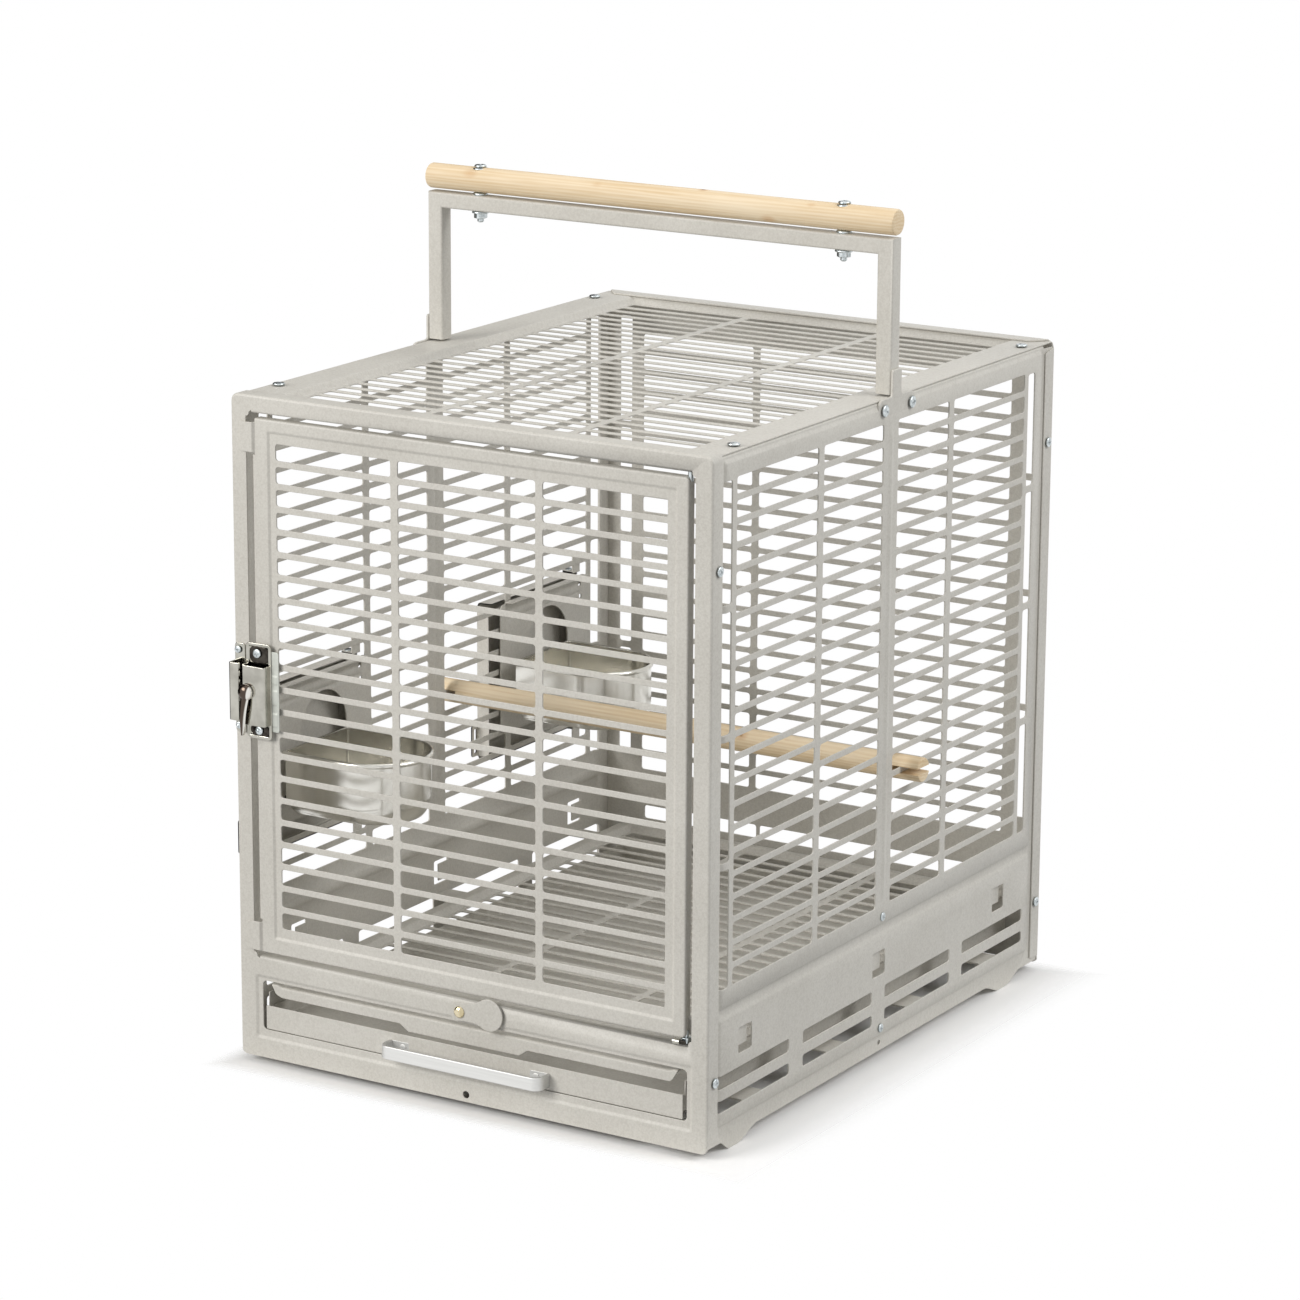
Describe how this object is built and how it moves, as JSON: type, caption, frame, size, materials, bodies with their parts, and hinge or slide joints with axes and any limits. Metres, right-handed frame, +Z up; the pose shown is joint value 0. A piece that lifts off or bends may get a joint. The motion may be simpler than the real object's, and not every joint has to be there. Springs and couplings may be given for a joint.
{
  "type": "bird travel carrier",
  "caption": "Stamped sheet-metal bird travel carrier with a latched front door, slide-out tray and grate, feeder bowls, perch and wooden carrying handle.",
  "frame": {"origin": "middle of the footprint over its whole reach, on the floor under the feet", "axes": "+Z up, -Y out of the front with the door and tray, +X to the right seen from the front"},
  "size_m": [0.3992, 0.4794, 0.5893],
  "materials": {
    "grey_powder_coat": "light warm grey hammertone powder coat",
    "bright_plate": "bright plated steel",
    "zinc": "zinc plated screws, pins and nuts",
    "stainless": "satin stainless steel",
    "satin_aluminium": "satin anodised strip",
    "pale_wood": "pale knotty wood, clear finish"
  },
  "bodies": {
    "frame": {"front_panel": "grey_powder_coat", "back_panel": "grey_powder_coat", "left_panel": "grey_powder_coat", "right_panel": "grey_powder_coat", "top_panel": "grey_powder_coat", "hinge_pins": "zinc", "hinge_nuts": "zinc", "latch_keeper": "bright_plate", "keeper_screws": "zinc", "tab_rivet": "zinc", "handle_frame": "grey_powder_coat", "handle_brackets": "grey_powder_coat", "handle_grip": "pale_wood", "handle_bolts": "zinc", "handle_nuts": "zinc", "bracket_screws": "zinc", "panel_screws": "zinc", "top_screws": "zinc", "perch": "pale_wood", "feeder_plate_front": "grey_powder_coat", "feeder_plate_rear": "grey_powder_coat", "feeder_hinges": "grey_powder_coat", "feeder_pins": "zinc", "floor_ledges": "grey_powder_coat", "tray_ledges": "grey_powder_coat", "stile_screws": "zinc"},
    "door": {"door_panel": "grey_powder_coat", "latch_base": "bright_plate", "latch_cover": "bright_plate", "latch_screws": "zinc"},
    "lever": {"latch_lever": "bright_plate"},
    "tray": {"tray_pan": "grey_powder_coat", "tray_handle": "satin_aluminium", "tray_rivets": "satin_aluminium"},
    "grate": {"floor_grate": "grey_powder_coat"},
    "tab": {"turn_tab": "grey_powder_coat"},
    "front_bowl": {"bowl_front": "stainless"},
    "rear_bowl": {"bowl_rear": "stainless"},
    "front_feeder": {"feeder_door_front": "grey_powder_coat"},
    "rear_feeder": {"feeder_door_rear": "grey_powder_coat"}
  },
  "joints": [
    {"name": "door_swing", "type": "hinge", "parent": "frame", "child": "door", "pos_m": [0.167, -0.2241, 0.2655], "axis": [0, 0, 1], "range_deg": [0, 105]},
    {"name": "lever_turn", "type": "hinge", "parent": "door", "child": "lever", "pos_m": [-0.1705, -0.2361, 0.264], "axis": [0, -1, 0], "range_deg": [0, 90]},
    {"name": "tray_slide", "type": "slide", "parent": "frame", "child": "tray", "axis": [0, -1, 0], "range_m": [0, 0.465]},
    {"name": "grate_slide", "type": "slide", "parent": "frame", "child": "grate", "axis": [0, -1, 0], "range_m": [0, 0.465]},
    {"name": "tab_turn", "type": "hinge", "parent": "frame", "child": "tab", "pos_m": [-0.0044, -0.2301, 0.0679], "axis": [0, 1, 0], "range_deg": [0, 94]},
    {"name": "front_bowl_lift", "type": "slide", "parent": "frame", "child": "front_bowl", "axis": [0, 0, 1], "range_m": [0, 0.016]},
    {"name": "rear_bowl_lift", "type": "slide", "parent": "frame", "child": "rear_bowl", "axis": [0, 0, 1], "range_m": [0, 0.016]},
    {"name": "front_feeder_swing", "type": "hinge", "parent": "frame", "child": "front_feeder", "pos_m": [-0.1917, -0.0881, 0.1965], "axis": [0, 0, -1], "range_deg": [0, 110]},
    {"name": "rear_feeder_swing", "type": "hinge", "parent": "frame", "child": "rear_feeder", "pos_m": [-0.1917, 0.1969, 0.1965], "axis": [0, 0, -1], "range_deg": [0, 110]}
  ]
}
